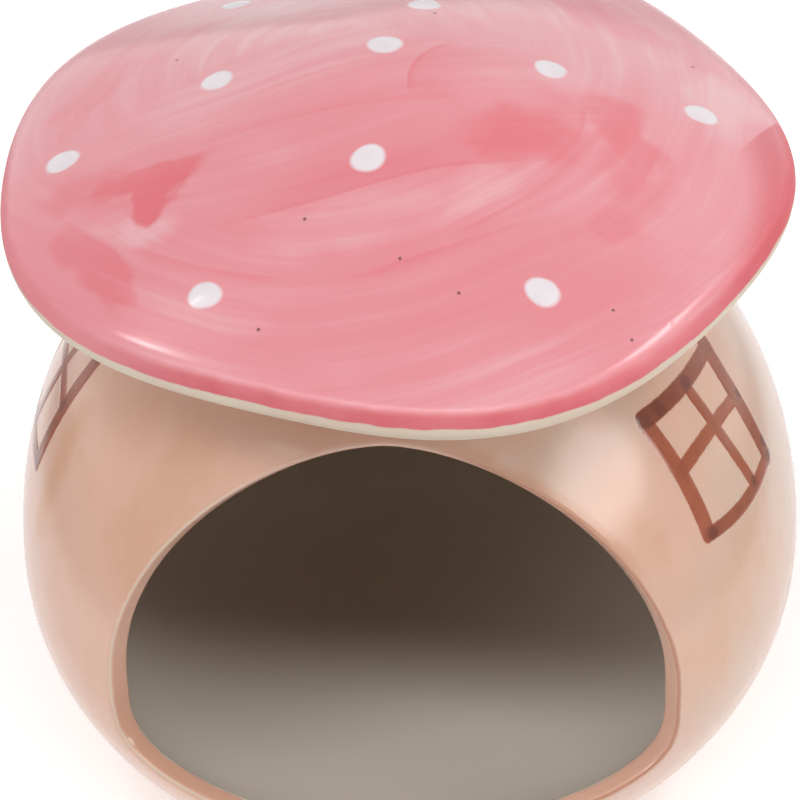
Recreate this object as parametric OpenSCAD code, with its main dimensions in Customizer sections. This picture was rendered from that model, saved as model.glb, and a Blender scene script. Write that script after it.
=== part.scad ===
// Ceramic hamster hideout in the shape of a mushroom house, cast in one hollow piece.
// Millimetres, Z up. The foot rests on Z = 0, the mouth faces -Y and the body's axis is Z.

/* [Body] */
// Radius of the body at its belly, the widest ring
body_r = 55; // [48:0.5:64]
// Height of the belly above the table
belly_z = 36; // [33:0.5:39]
// Height above the belly at which the body's curve would close to a point
shoulder_h = 57; // [53:0.5:62]
// Depth below the belly at which the bowl's curve would close to a point
bowl_h = 42; // [41:0.5:46]
// Fullness of the body's curve, where 2 is an ellipse and more is squarer
body_full = 2.1; // [1.9:0.05:2.4]
// Thickness of the cast wall
wall = 4.2; // [3:0.1:5.5]

/* [Foot] */
// Thickness of the floor inside, at its middle
floor_t = 5; // [3.5:0.1:7]
// Fullness of the hollow's bowl, where more is a flatter floor
bowl_full = 2.8; // [2.4:0.1:3]
// Width of the ring that touches the table
foot_ring_w = 4.5; // [3:0.1:7]
// Depth of the hollow inside the foot ring
foot_recess = 1; // [0.5:0.1:1.5]

/* [Mouth] */
// Half the width of the mouth's outline, drawn on a plane that touches the belly's front
mouth_half_w = 49.5; // [36:0.5:50]
// Height of the outline's arch over its springing line
mouth_arch_h = 50.5; // [38:0.5:52]
// Depth of the outline's sill under its springing line
mouth_sill_h = 20.5; // [12:0.5:24]
// Height of the springing line above the belly
mouth_spring_z = 4.5; // [0:0.5:8]
// Fullness of the arch, where less than 2 is more pointed
mouth_arch_full = 1.72; // [1.5:0.02:2.2]
// Fullness of the sill, where a large value is flat with round corners
mouth_sill_full = 6; // [3:0.1:8]
// Distance behind the axis of the point from which the wall is cut
cut_back = 25; // [10:1:40]
// Depth of that point under the belly
cut_drop = 3; // [0:0.5:8]

/* [Cap] */
// Mean radius of the cap at its rim
cap_r = 54.5; // [50:0.5:64]
// Height above the belly at which the body runs into the groove under the cap
neck_z = 47.5; // [44:0.5:49]
// Radius of the groove under the cap
neck_fillet = 4; // [2.5:0.1:5]
// Half the thickness of the rim
rim_half_t = 4.2; // [3:0.1:6]
// Distance over which the top rolls over into the rim
rim_roll = 7; // [4:0.1:10]
// Height of the dome over its edge
dome_h = 17.5; // [12:0.5:24]
// Roundness of the dome's middle, where a small value is a sharper peak
dome_round = 0.42; // [0.2:0.02:0.8]
// Height of the three broad lobes of the rim
lobe_3 = 1.3; // [0:0.1:2]
// Height of the five small lobes of the rim
lobe_5 = 1.3; // [0:0.1:2]
// Rise and fall of the rim as it goes round
rim_sway = 0.9; // [0:0.1:1.5]
// Angle from the mouth to a broad lobe's middle
lobe_3_at = 37; // [0:1:119]
// Angle from the mouth to a small lobe's middle
lobe_5_at = 20; // [0:1:71]
// Angle from the mouth to where the rim is highest
sway_at = 87; // [0:1:179]
// Thickness of the cap's shell over its hollow
cap_wall = 5; // [4:0.1:6]

/* [Painted dots] */
// Diameter of a dot
dot_d = 4.5; // [3:0.1:6]
// Height of a dot over the glaze
dot_h = 0.35; // [0.2:0.05:0.6]

/* [Painted windows] */
// Width of a window, over its bars
window_w = 22.5; // [14:0.5:26]
// Height of a window, over its bars
window_h = 22; // [14:0.5:24]
// Width of a bar
bar_w = 2.2; // [1.4:0.1:3.2]
// Height of a bar over the glaze
bar_h = 0.3; // [0.2:0.05:0.6]
// Height of the windows' middle above the belly
window_z = 29.5; // [24:0.5:31]
// Angle from the mouth to the right window
window_right = 68; // [60:1:85]
// Angle from the mouth to the left window
window_left = 89; // [62:1:110]

/* [Hidden] */

GLAZE_PINK = "#e58f98";
GLAZE_TAN = "#d6ae98";
GLAZE_CREAM = "#d9cdbd";
DOT_WHITE = "#f0e6e8";
BAR_BROWN = "#8c4a30";

// Places of the dots, seen from above
DOTS = [
    [-45.5, -5], [-24.5, 2.5], [-24.5, 32], [-2.5, -18], [-1.5, 4], [3, 18.5],
    [21, 4.5], [41.5, 5.5], [21.5, -36], [-23.5, -35.5], [26, 39], [-1, 41]
];

// Steps round the cap and along its section
CAP_STEPS = 72;
DOME_STEPS = 9;
EDGE_STEPS = 8;
UNDER_STEPS = 3;
PROFILE_STEP = 3;
ARC_STEP = 15;
BOWL_STEP = 7.5;
OVER = 1;
// Height by which the groove's curve runs up into the cap's underside
BITE = 0.15;

// The body's curve: a superellipse with one half-height above the belly and one below
function half_h(z, off) = (z >= 0 ? shoulder_h : bowl_h) + off;
function curve_r(z, off) =
    (body_r + off) * pow(1 - pow(abs(z) / half_h(z, off), body_full), 1 / body_full);

// The hollow's curve: the wall's thickness inside above the belly, a bowl below it
function hollow_r(z) =
    z >= 0 ? curve_r(z, -wall)
    : (body_r - wall) * pow(1 - pow(-z / (belly_z - floor_t), bowl_full), 1 / bowl_full);

// Angle at which the curve's normal rises at height z
function rise(z) =
    atan2(pow(z / shoulder_h, body_full - 1) / shoulder_h,
          pow(curve_r(z, 0) / body_r, body_full - 1) / body_r);

foot_r = curve_r(-belly_z, 0);
neck_r = curve_r(neck_z, 0);
neck_rise = rise(neck_z);
groove = [neck_r + neck_fillet * cos(neck_rise), neck_z + neck_fillet * sin(neck_rise)];
under_z = groove.y + neck_fillet - BITE;
rim_z = under_z + rim_half_t;

// Even steps from a to b, no longer than step
function steps(a, b, step) = let (n = ceil(abs(b - a) / step)) [for (i = [0:n]) a + (b - a) * i / n];

// Points of an arc from angle a to angle b
function arc_points(centre, r, a, b) = [for (t = steps(a, b, ARC_STEP)) centre + r * [cos(t), sin(t)]];

// Radius and height of the rim at angle a from the mouth
function rim_r(a) = cap_r + lobe_3 * cos(3 * (a - lobe_3_at)) + lobe_5 * cos(5 * (a - lobe_5_at));
function rim_wave(a) = rim_sway * cos(2 * (a - sway_at));

// How far the dome has fallen at share t of the way to its edge: a rounded peak, then a straight flank
function fall(t) =
    (sqrt(t * t + dome_round * dome_round) - dome_round) / (peak - dome_round);

// The rim's section is half an ellipse, and the dome runs into it where both have one slope
peak = sqrt(1 + dome_round * dome_round);
flank = dome_h / (cap_r - rim_roll / 2) / (peak * (peak - dome_round));
edge_start = atan(flank * rim_roll / rim_half_t);
edge_in = rim_roll * (1 - sin(edge_start));
dome_base_z = rim_z + rim_half_t * cos(edge_start);

// Height of the cap's top at distance r from the axis, at angle a from the mouth
function cap_top(r, a) =
    let (t = r / (rim_r(a) - edge_in))
    dome_base_z + dome_h * (1 - fall(t)) + rim_wave(a) * t * t;

// The cap's section at angle a: over the dome, round the edge and back under it
function cap_section(a) =
    let (r = rim_r(a), wave = rim_wave(a), inner = r - rim_roll)
    concat(
        [for (i = [1:DOME_STEPS])
            let (t = (r - edge_in) * i / DOME_STEPS) [t, cap_top(t, a)]],
        [for (i = [1:EDGE_STEPS])
            let (t = edge_start + (180 - edge_start) * i / EDGE_STEPS)
            [inner + rim_roll * sin(t), rim_z + wave + rim_half_t * cos(t)]],
        [for (i = [1:UNDER_STEPS])
            let (t = i / UNDER_STEPS)
            [inner + (groove.x - neck_fillet - inner) * t, under_z + wave * pow(1 - t, 2)]]
    );

CAP_RINGS = DOME_STEPS + EDGE_STEPS + UNDER_STEPS;

// Corner number of ring j at step i, after the two poles
function corner(i, j) = 2 + (i % CAP_STEPS) * CAP_RINGS + j;

module cap() {
    points = concat(
        [[0, 0, cap_top(0, 0)], [0, 0, under_z]],
        [for (i = [0:CAP_STEPS - 1])
            let (a = 360 * i / CAP_STEPS)
            for (p = cap_section(a)) [p.x * sin(a), -p.x * cos(a), p.y]]
    );
    faces = concat(
        [for (i = [0:CAP_STEPS - 1]) [0, corner(i + 1, 0), corner(i, 0)]],
        [for (i = [0:CAP_STEPS - 1]) for (j = [0:CAP_RINGS - 2])
            for (f = [[corner(i, j), corner(i + 1, j), corner(i + 1, j + 1)],
                      [corner(i, j), corner(i + 1, j + 1), corner(i, j + 1)]]) f],
        [for (i = [0:CAP_STEPS - 1])
            [1, corner(i, CAP_RINGS - 1), corner(i + 1, CAP_RINGS - 1)]]
    );
    polyhedron(points = points, faces = faces, convexity = 4);
}

// The body's outside, from the foot to the groove and up into the cap
module body(off = 0) {
    rotate_extrude($fn = 96)
        polygon(concat(
            [[0, -belly_z]],
            [for (z = steps(-belly_z, neck_z, PROFILE_STEP)) [curve_r(z, off), z]],
            arc_points(groove, neck_fillet, 180 + neck_rise, 90),
            [[groove.x, under_z + OVER], [0, under_z + OVER]]
        ));
}

// The hollow inside: the bowl, the neck and the space under the dome
module cavity() {
    floor_z = floor_t - belly_z;
    inner_neck_z = neck_z - wall * sin(neck_rise);
    brim_r = groove.x + wall;
    brim_z = groove.y + neck_fillet + wall;
    rotate_extrude($fn = 96)
        polygon(concat(
            [for (t = steps(90, 0, BOWL_STEP)) let (z = floor_z * sin(t)) [hollow_r(z), z]],
            [for (z = steps(0, inner_neck_z, PROFILE_STEP)) if (z > 0) [hollow_r(z), z]],
            arc_points(groove, neck_fillet + wall, 180 + neck_rise, 90),
            [[brim_r - OVER, brim_z], [brim_r, brim_z + OVER]],
            [for (r = steps(brim_r - OVER, 0, 2 * PROFILE_STEP)) [r, dome_base_z + dome_h * (1 - fall(r / cap_r)) - cap_wall]]
        ));
}

// The mouth's outline: an arch over a flat sill with round corners
function mouth_point(t) =
    let (full = t <= 180 ? mouth_arch_full : mouth_sill_full,
         tall = t <= 180 ? mouth_arch_h : mouth_sill_h,
         reach = pow(pow(abs(cos(t)), full) + pow(abs(sin(t)), full), -1 / full))
    [mouth_half_w * reach * cos(t), mouth_spring_z + cut_drop + tall * reach * sin(t)];

// The wedge that cuts the mouth, with its edge behind the axis
module mouth() {
    reach = body_r + cut_back;
    grow = (reach + 2 * OVER) / reach;
    translate([0, cut_back, -cut_drop])
        hull() {
            translate([0, -reach * grow, 0])
                rotate([90, 0, 0])
                    linear_extrude(0.1)
                        polygon([for (t = [0:5:355]) grow * mouth_point(t)]);
            sphere(d = 0.2, $fn = 8);
        }
}

// The shallow hollow inside the foot ring
module foot_hollow() {
    translate([0, 0, -belly_z - OVER])
        cylinder(r = foot_r - foot_ring_w, h = foot_recess + OVER, $fn = 96);
}

// A low round dab of paint on the cap
module dot(place) {
    ball_r = (pow(dot_d / 2, 2) + pow(dot_h, 2)) / (2 * dot_h);
    r = norm(place);
    a = atan2(place.x, -place.y);
    slope = atan2(cap_top(r - OVER, a) - cap_top(r + OVER, a), 2 * OVER);
    translate([place.x, place.y, cap_top(r, a)])
        rotate([0, slope, atan2(place.y, place.x)])
            intersection() {
                translate([0, 0, dot_h - ball_r])
                    sphere(r = ball_r, $fn = 48);
                translate([0, 0, -OVER])
                    cylinder(d = dot_d, h = 2 * OVER, $fn = 24);
            }
}

// The bars of one window, drawn flat
module window_bars() {
    for (x = [-1, 0, 1])
        translate([x * (window_w - bar_w) / 2, 0])
            square([bar_w, window_h], center = true);
    for (y = [-1, 0, 1])
        translate([0, y * (window_h - bar_w) / 2])
            square([window_w, bar_w], center = true);
}

// A window wrapped on the body at angle a from the mouth
module window(a) {
    intersection() {
        body(bar_h);
        rotate([0, 0, a])
            translate([0, -curve_r(window_z, -wall), window_z])
                rotate([90 - rise(window_z), 0, 0])
                    linear_extrude(2 * wall)
                        window_bars();
    }
}

module hideout() {
    translate([0, 0, belly_z])
        difference() {
            union() {
                color(GLAZE_TAN) body();
                color(GLAZE_PINK) cap();
                color(DOT_WHITE) for (place = DOTS) dot(place);
                color(BAR_BROWN) window(window_right);
                color(BAR_BROWN) window(-window_left);
            }
            color(GLAZE_CREAM) cavity();
            color(GLAZE_CREAM) mouth();
            color(GLAZE_TAN) foot_hollow();
        }
}

hideout();
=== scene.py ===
"""Ceramic hamster hideout: its glazed surfaces, painted dots and windows, and the studio.

Lengths are metres, Z up. The foot stands on Z = 0, the mouth faces -Y and the body's axis is Z.
Angles round the axis run from the mouth towards +X. Heights in the functions are from the belly.
"""

import math

import bmesh
import bpy
import numpy as np
from bpy.props import FloatProperty, FloatVectorProperty, IntProperty, PointerProperty
from mathutils import Matrix, Quaternion, Vector


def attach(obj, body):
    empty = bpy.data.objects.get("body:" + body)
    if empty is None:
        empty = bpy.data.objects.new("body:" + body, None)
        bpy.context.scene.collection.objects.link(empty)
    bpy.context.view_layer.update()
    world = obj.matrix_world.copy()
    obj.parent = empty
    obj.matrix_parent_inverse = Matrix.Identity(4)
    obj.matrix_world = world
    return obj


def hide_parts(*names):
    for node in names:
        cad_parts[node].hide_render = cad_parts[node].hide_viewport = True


bl_info = {
    "name": "Ceramic Hamster Hideout",
    "version": (1, 0, 0),
    "blender": (4, 5, 0),
    "location": "View3D > Sidebar > Hideout",
    "description": "Builds a glazed mushroom house for a small pet, with painted dots and windows",
    "category": "Add Mesh",
}

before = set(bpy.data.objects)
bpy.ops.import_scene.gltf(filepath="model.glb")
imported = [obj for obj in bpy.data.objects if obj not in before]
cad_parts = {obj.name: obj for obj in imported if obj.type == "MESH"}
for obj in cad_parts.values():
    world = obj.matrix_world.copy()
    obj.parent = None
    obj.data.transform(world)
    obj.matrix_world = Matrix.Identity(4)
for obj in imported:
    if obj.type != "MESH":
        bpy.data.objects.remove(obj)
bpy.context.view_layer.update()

MM = 0.001
PICTURE = 800  # pixels along the side of the picture that the camera is fitted to
GLAZE_IOR = 1.52

# Places of the dots on the cap, seen from above, in millimetres
DOTS = np.array([
    (-45.5, -5), (-24.5, 2.5), (-24.5, 32), (-2.5, -18), (-1.5, 4), (3, 18.5),
    (21, 4.5), (41.5, 5.5), (21.5, -36), (-23.5, -35.5), (26, 39), (-1, 41),
]) * MM
# How deep each dot is as a share of its width
DOT_DEPTHS = (1, 1, 1, 0.92, 1, 1, 1, 1, 0.94, 0.74, 1, 1)


def linear(code):
    """Scene linear colour of a hex code such as e58f98."""
    shares = [int(code[i:i + 2], 16) / 255 for i in (0, 2, 4)]
    return tuple(c / 12.92 if c <= 0.04045 else ((c + 0.055) / 1.055) ** 2.4 for c in shares)


def length(name, text, default, low=0.0, high=1.0):
    return FloatProperty(name=name, description=text, default=default, min=low, max=high,
                         unit="LENGTH", precision=5)


def number(name, text, default, low=0.0, high=10.0):
    return FloatProperty(name=name, description=text, default=default, min=low, max=high)


def count(name, text, default, low):
    return IntProperty(name=name, description=text, default=default, min=low)


def angle(name, text, default):
    return FloatProperty(name=name, description=text, default=math.radians(default), unit="ROTATION")


def colour(name, text, code):
    return FloatVectorProperty(name=name, description=text, default=linear(code), subtype="COLOR",
                               size=3, min=0.0, max=1.0)


class HideoutBody(bpy.types.PropertyGroup):
    """Sizes of the round body and its foot."""
    radius: length("Belly radius", "Radius of the body at its widest ring", 0.055)
    belly: length("Belly height", "Height of the belly above the table", 0.036)
    shoulder: length("Shoulder", "Height above the belly at which the curve would close", 0.057)
    bowl: length("Bowl", "Depth below the belly at which the curve would close", 0.042)
    full: number("Fullness", "2 is an ellipse, more is squarer", 2.1)
    wall: length("Wall", "Thickness of the cast wall", 0.0042)
    floor: length("Floor", "Thickness of the floor inside, at its middle", 0.005)
    bowl_full: number("Bowl fullness", "Fullness of the hollow's bowl", 2.8)
    ring: length("Foot ring", "Width of the ring that touches the table", 0.0045)
    recess: length("Foot recess", "Depth of the hollow inside the foot ring", 0.001)
    ring_edge: length("Foot edge", "Rounding of the foot ring's edges", 0.0009)


class HideoutMouth(bpy.types.PropertyGroup):
    """Sizes of the mouth and of its lip."""
    half_width: length("Half width", "Half the width of the outline, which is drawn before the belly", 0.0495)
    arch: length("Arch", "Height of the outline's arch over its springing line", 0.0505)
    sill: length("Sill", "Depth of the outline's sill under its springing line", 0.0205)
    spring: length("Spring", "Height of the springing line above the belly", 0.0045)
    arch_full: number("Arch fullness", "Less than 2 is more pointed", 1.72)
    sill_full: number("Sill fullness", "A large value is flat with round corners", 6.0)
    cut_back: length("Cut back", "Distance behind the axis of the point from which the wall is cut", 0.025)
    cut_drop: length("Cut drop", "Depth of that point under the belly", 0.003)
    lip_round: length("Lip edge", "Rounding of the lip's two edges", 0.0011)


class HideoutCap(bpy.types.PropertyGroup):
    """Sizes of the cap, its rim and the groove under it."""
    radius: length("Rim radius", "Mean radius of the cap at its rim", 0.0545)
    neck: length("Neck", "Height above the belly at which the body runs into the groove", 0.0475)
    groove: length("Groove", "Radius of the groove under the cap", 0.004)
    bite: length("Bite", "Height by which the groove runs up into the cap's underside", 0.00015)
    rim_half: length("Half rim", "Half the thickness of the rim", 0.0042)
    roll: length("Roll", "Distance over which the top rolls over into the rim", 0.007)
    dome: length("Dome", "Height of the dome over its edge", 0.0175)
    peak_round: number("Peak roundness", "A small value is a sharper peak", 0.42)
    lobe_3: length("Broad lobes", "Height of the three broad lobes", 0.0013)
    lobe_5: length("Small lobes", "Height of the five small lobes", 0.0013)
    sway: length("Sway", "Rise and fall of the rim as it goes round", 0.0009)
    lobe_3_at: angle("Broad lobe at", "Angle from the mouth to a broad lobe's middle", 37)
    lobe_5_at: angle("Small lobe at", "Angle from the mouth to a small lobe's middle", 20)
    sway_at: angle("Sway at", "Angle from the mouth to where the rim is highest", 87)
    shell: length("Cap wall", "Thickness of the cap's shell over its hollow", 0.005)


class HideoutPaint(bpy.types.PropertyGroup):
    """Sizes of the painted dots and windows."""
    dot: length("Dot", "Diameter of a dot", 0.0045)
    dot_height: length("Dot height", "Height of a dot over the glaze", 0.00022)
    window_width: length("Window width", "Width of a window over its bars", 0.0225)
    window_height: length("Window height", "Height of a window over its bars", 0.022)
    bar: length("Bar", "Mean width of a window bar", 0.0025)
    bar_height: length("Bar height", "Height of a bar over the glaze", 0.00006)
    window_z: length("Window place", "Height of the windows' middle above the belly", 0.0295)
    right_at: angle("Right window at", "Angle from the mouth to the right window", 68)
    left_at: angle("Left window at", "Angle from the mouth to the left window", -89)


class HideoutColours(bpy.types.PropertyGroup):
    """Colours of the glazes and paints."""
    pink: colour("Pink glaze", "The cap's glaze where it lies evenly", "e79198")
    # coral and rim red also darken the right lobe's rim, partly as painted shade for its dark reflection
    coral: colour("Coral glaze", "The cap's glaze where the brush left more", "e36b74")
    blush: colour("Pale pink glaze", "The cap's glaze where the brush left less", "ecb1b5")
    rim_red: colour("Rim red", "The glaze where it gathers along the rim", "cf5861")
    ivory: colour("Ivory slip", "The unpainted underside of the cap", "d9c9b6")
    tan: colour("Tan wash", "The body's wash", "cfb19e")
    peach: colour("Peach wash", "The body's wash where it is pinker", "dbae9a")
    amber: colour("Amber wash", "The body's wash where it is thicker", "cf9f80")
    terracotta: colour("Terracotta", "The painted lip of the mouth", "c08a6c")
    amber_line: colour("Lip line", "The brown line along the lip's right side", "a8623f")
    cream: colour("Cream glaze", "The glaze on the floor inside", "f4eadc")
    # painted shade: the inside walls darken to this colour upward, for the dim light inside
    inside_shade: colour("Umber glaze", "The thin glaze on the walls inside", "8d6f58")
    clay: colour("Clay", "The bare foot ring", "d8cbb8")
    grit: colour("Grit", "The darker grains in the clay", "bba88f")
    # painted shade: the dark inside the pinholes stands for the shade in their pits
    pit_shade: colour("Pit", "The bottom of the pinholes in the cap's glaze", "5a2a2a")
    dot_white: colour("Dot white", "The raised dots", "ece3e7")
    dot_shade: colour("Dot shade", "The dots where the paint is thinner", "e3d3d9")
    bar_brown: colour("Bar brown", "The window bars", "a35434")
    bar_dark: colour("Bar dark", "The window bars where strokes overlap", "6b2e1b")


class HideoutMesh(bpy.types.PropertyGroup):
    """How finely the surfaces are divided."""
    round_steps: count("Round", "Steps round the cap and the foot", 216, 48)
    side_steps: count("Side", "Steps down the back seam", 40, 8)
    wall_rows: count("Wall rows", "Rows from the mouth to the back", 60, 12)
    inner_rows: count("Inner rows", "Rows from the mouth to the back inside", 36, 12)


class HideoutStudio(bpy.types.PropertyGroup):
    """The camera, the lamps and the floor."""
    azimuth: angle("Azimuth", "Angle of the camera from the mouth towards +X", 4.5)
    elevation: angle("Elevation", "Angle of the camera above the table", 38)
    roll: angle("Roll", "Turn of the camera about its line of sight", -2)
    distance: length("Distance", "From the camera to the middle of the belly", 1.0, high=10.0)
    focal_px: number("Focal length", "In pixels of an 800 pixel picture", 7018.0, high=20000.0)
    aim_x: number("Aim X", "Pixel column of the belly's middle", 410.0, high=800.0)
    aim_y: number("Aim Y", "Pixel row of the belly's middle", 522.0, high=800.0)
    floor_size: length("Floor", "Side of the floor", 8.0, high=20.0)
    world: number("Surround", "Strength of the even light from all round", 0.17)
    left: number("Left", "Strength of the low light from the left", 1.6)
    mirrored: number("Mirrored", "How bright the room beside the paper is in the glaze", 0.4)
    behind: number("Behind", "How bright the room behind the hideout is in the glaze", 1.5)
    paper: length("Paper", "Half the width of the white paper that the glaze mirrors", 0.14)
    floor_lift: number("Floor lift", "Added to the floor where it is seen, so that it shows white", 0.4)
    floor_colour: colour("Floor colour", "The pale floor", "fbfafa")


SETTINGS = {
    "hideout_body": HideoutBody, "hideout_mouth": HideoutMouth, "hideout_cap": HideoutCap,
    "hideout_paint": HideoutPaint, "hideout_colours": HideoutColours, "hideout_mesh": HideoutMesh,
    "hideout_studio": HideoutStudio,
}


class Shape:
    """The hideout's curves, as functions of whole arrays. Heights are from the belly."""

    def __init__(self, scene):
        self.body, self.mouth, self.cap = scene.hideout_body, scene.hideout_mouth, scene.hideout_cap
        self.paint, self.mesh = scene.hideout_paint, scene.hideout_mesh
        b, c = self.body, self.cap
        power = b.full - 1
        neck_r = float(self.body_r(c.neck))
        self.neck_rise = math.atan2((c.neck / b.shoulder) ** power / b.shoulder,
                                    (neck_r / b.radius) ** power / b.radius)
        self.groove_r = neck_r + c.groove * math.cos(self.neck_rise)
        self.groove_z = c.neck + c.groove * math.sin(self.neck_rise)
        self.under_z = self.groove_z + c.groove - c.bite
        self.rim_z = self.under_z + c.rim_half
        self.peak = math.hypot(1, c.peak_round)
        flank = c.dome / (c.radius - c.roll / 2) / (self.peak * (self.peak - c.peak_round))
        self.edge_start = math.atan(flank * c.roll / c.rim_half)
        self.edge_in = c.roll * (1 - math.sin(self.edge_start))
        self.dome_base = self.rim_z + c.rim_half * math.cos(self.edge_start)

    def body_r(self, z, off=0.0):
        """Superellipse: (r / R) ^ full + (z / H) ^ full = 1, with its own H above and below the belly."""
        b = self.body
        z = np.asarray(z, float)
        half = np.where(z >= 0, b.shoulder, b.bowl) + off
        return (b.radius + off) * np.maximum(1 - (np.abs(z) / half) ** b.full, 0) ** (1 / b.full)

    def hollow_r(self, z):
        """The body's curve less the wall above the belly, and a fuller superellipse down to the floor."""
        b = self.body
        z = np.asarray(z, float)
        low = np.clip(-z / (b.belly - b.floor), 0, 1)
        bowl = (b.radius - b.wall) * (1 - low ** b.bowl_full) ** (1 / b.bowl_full)
        return np.where(z >= 0, self.body_r(np.maximum(z, 0), -b.wall), bowl)

    def rim_r(self, a):
        """A circle with three broad and five small lobes."""
        c = self.cap
        return c.radius + c.lobe_3 * np.cos(3 * (a - c.lobe_3_at)) + c.lobe_5 * np.cos(5 * (a - c.lobe_5_at))

    def rim_wave(self, a):
        """The rim rises and falls twice a turn."""
        return self.cap.sway * np.cos(2 * (a - self.cap.sway_at))

    def fall(self, t):
        """A hyperbola, 0 at the peak and 1 at the edge, t = 0 to 1."""
        k = self.cap.peak_round
        return (np.sqrt(t * t + k * k) - k) / (self.peak - k)

    def cap_top(self, r, a):
        """Height of the dome at distance r and angle a: the hyperbola plus the rim's wave times t squared."""
        t = r / (self.rim_r(a) - self.edge_in)
        return self.dome_base + self.cap.dome * (1 - self.fall(t)) + self.rim_wave(a) * t * t

    def mouth_point(self, t, grow):
        """The outline before the belly: superellipse in polar form, with one fullness over the springing
        line and one under it, moved out by grow along its normal. Returned as rays from the cut's point."""
        m = self.mouth
        up = np.sin(t) >= 0
        full = np.where(up, m.arch_full, m.sill_full)
        tall = np.where(up, m.arch, m.sill)
        cos, sin = np.cos(t), np.sin(t)
        reach = (np.abs(cos) ** full + np.abs(sin) ** full) ** (-1 / full)
        x, z = m.half_width * reach * cos, tall * reach * sin
        nx = np.sign(cos) * (np.abs(x) / m.half_width) ** (full - 1) / m.half_width
        nz = np.sign(sin) * (np.abs(z) / tall) ** (full - 1) / tall
        size = np.hypot(nx, nz)
        x, z = x + grow * nx / size, z + grow * nz / size + m.spring + m.cut_drop
        return np.stack([x, np.full_like(x, -(self.body.radius + m.cut_back)), z], -1)

    def cut(self, rays, curve):
        """Where rays from the cut's point pass through the surface r = curve(z), by halving."""
        m = self.mouth
        start = np.array([0, m.cut_back, -m.cut_drop])
        low, high = np.full(len(rays), 0.2), np.full(len(rays), 1.4)
        for _ in range(48):
            mid = (low + high) / 2
            p = start + rays * mid[:, None]
            out = np.hypot(p[:, 0], p[:, 1]) > curve(p[:, 2])
            low, high = np.where(out, low, mid), np.where(out, mid, high)
        return start + rays * low[:, None]


def turned(r, a, z):
    """Points at distance r, angle a from the mouth and height z."""
    r, a, z = np.broadcast_arrays(r, a, z)
    return np.stack([r * np.sin(a), -r * np.cos(a), z], -1)


def bend(start, corner, end, steps):
    """Quadratic curve from start to end that rounds a corner: (1-t)^2 S + 2t(1-t) C + t^2 E."""
    t = np.linspace(0, 1, steps + 1).reshape(-1, *[1] * np.ndim(start))
    return (1 - t) ** 2 * start + 2 * t * (1 - t) * corner + t * t * end


def arc(centre_r, centre_z, radius, start, end, steps):
    """Radii and heights along an arc between two angles from the outward direction."""
    t = np.linspace(start, end, steps + 1)
    return centre_r + radius * np.cos(t), centre_z + radius * np.sin(t)


def run_down(grid):
    """Length from the first row of points to each row, down every column."""
    step = np.linalg.norm(np.diff(grid, axis=0), axis=-1)
    return np.concatenate([np.zeros((1, *step.shape[1:])), np.cumsum(step, axis=0)])


def run_of(profile):
    """Length from the start of a profile to each of its points. A profile is its radii and its heights."""
    return run_down(np.stack(profile, -1))


def along(profile, p):
    """Radius and height at length p along a profile."""
    run = run_of(profile)
    return np.interp(p, run, profile[0]), np.interp(p, run, profile[1])


def grid_quads(index):
    """The four corners of each cell in a grid of point numbers."""
    return np.stack([index[:-1, :-1], index[:-1, 1:], index[1:, 1:], index[1:, :-1]], -1)


def set_marks(mesh, marks):
    """Stores each mark's value at every point, for the materials to read."""
    for name, values in marks.items():
        layer = mesh.attributes.new(name, "FLOAT", "POINT")
        layer.data.foreach_set("value", values.astype(np.float32))


def shade_smooth(mesh):
    mesh.polygons.foreach_set("use_smooth", np.ones(len(mesh.polygons), bool))
    mesh.update()


class Cast:
    """Grids of points that are sewn into one closed mesh. Each mark is a value per point, with a default."""

    def __init__(self, **defaults):
        self.points, self.faces, self.slots = [], [], []
        self.defaults = defaults
        self.marks = {name: [] for name in defaults}
        self.count = 0

    def add(self, grid, slot, **marks):
        """A grid of rows and columns of points, with the material's number and values for the marks."""
        rows, cols = grid.shape[:2]
        index = np.arange(rows * cols).reshape(rows, cols) + self.count
        quads = grid_quads(index).reshape(-1, 4)
        self.points.append(grid.reshape(-1, 3))
        self.faces.append(quads)
        self.slots.append(np.full(len(quads), slot))
        for name, default in self.defaults.items():
            self.marks[name].append(np.broadcast_to(marks.get(name, default), (rows, cols)).reshape(-1))
        self.count += rows * cols

    def build(self, name, lift, sew=2e-6):
        """The mesh, moved up by lift, with points closer than sew made one and faces turned outwards."""
        points = np.concatenate(self.points) + np.array([0, 0, lift])
        faces = np.concatenate(self.faces)
        mesh = bpy.data.meshes.new(name)
        mesh.from_pydata(points, [], faces)
        mesh.polygons.foreach_set("material_index", np.concatenate(self.slots).astype(np.int32))
        set_marks(mesh, {name: np.concatenate(values) for name, values in self.marks.items()})
        work = bmesh.new()
        work.from_mesh(mesh)
        bmesh.ops.remove_doubles(work, verts=work.verts, dist=sew)
        bmesh.ops.dissolve_degenerate(work, edges=work.edges, dist=sew / 2)
        bmesh.ops.recalc_face_normals(work, faces=work.faces)
        work.to_mesh(mesh)
        work.free()
        shade_smooth(mesh)
        return mesh


def place(name, mesh, materials):
    """A piece that rides on the one body, with the materials given, and hides the CAD part that it replaces.
    """
    piece = bpy.data.objects.new(name, mesh)
    bpy.context.scene.collection.objects.link(piece)
    for material in materials:
        mesh.materials.append(material)
    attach(piece, "root")
    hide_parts("hideout")
    return piece


def loop_round(round_steps, side_steps, top, bottom):
    """The rim of the unrolled wall: along the top, down the back seam, along the bottom and up again."""
    turn = np.linspace(-math.pi, math.pi, round_steps + 1)
    down = np.linspace(top, bottom, side_steps + 1)
    back = np.full(side_steps, math.pi)
    a = np.concatenate([turn[:-1], back, turn[:0:-1], -back])
    p = np.concatenate([np.full(round_steps, top), down[:-1], np.full(round_steps, bottom), down[:0:-1]])
    return np.append(a, a[0]), np.append(p, p[0])


# The angle round the axis that counts as much as the wall's height where the mouth's edge is shared out
# along the rim of the unrolled wall
FAN = math.radians(85)


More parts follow.
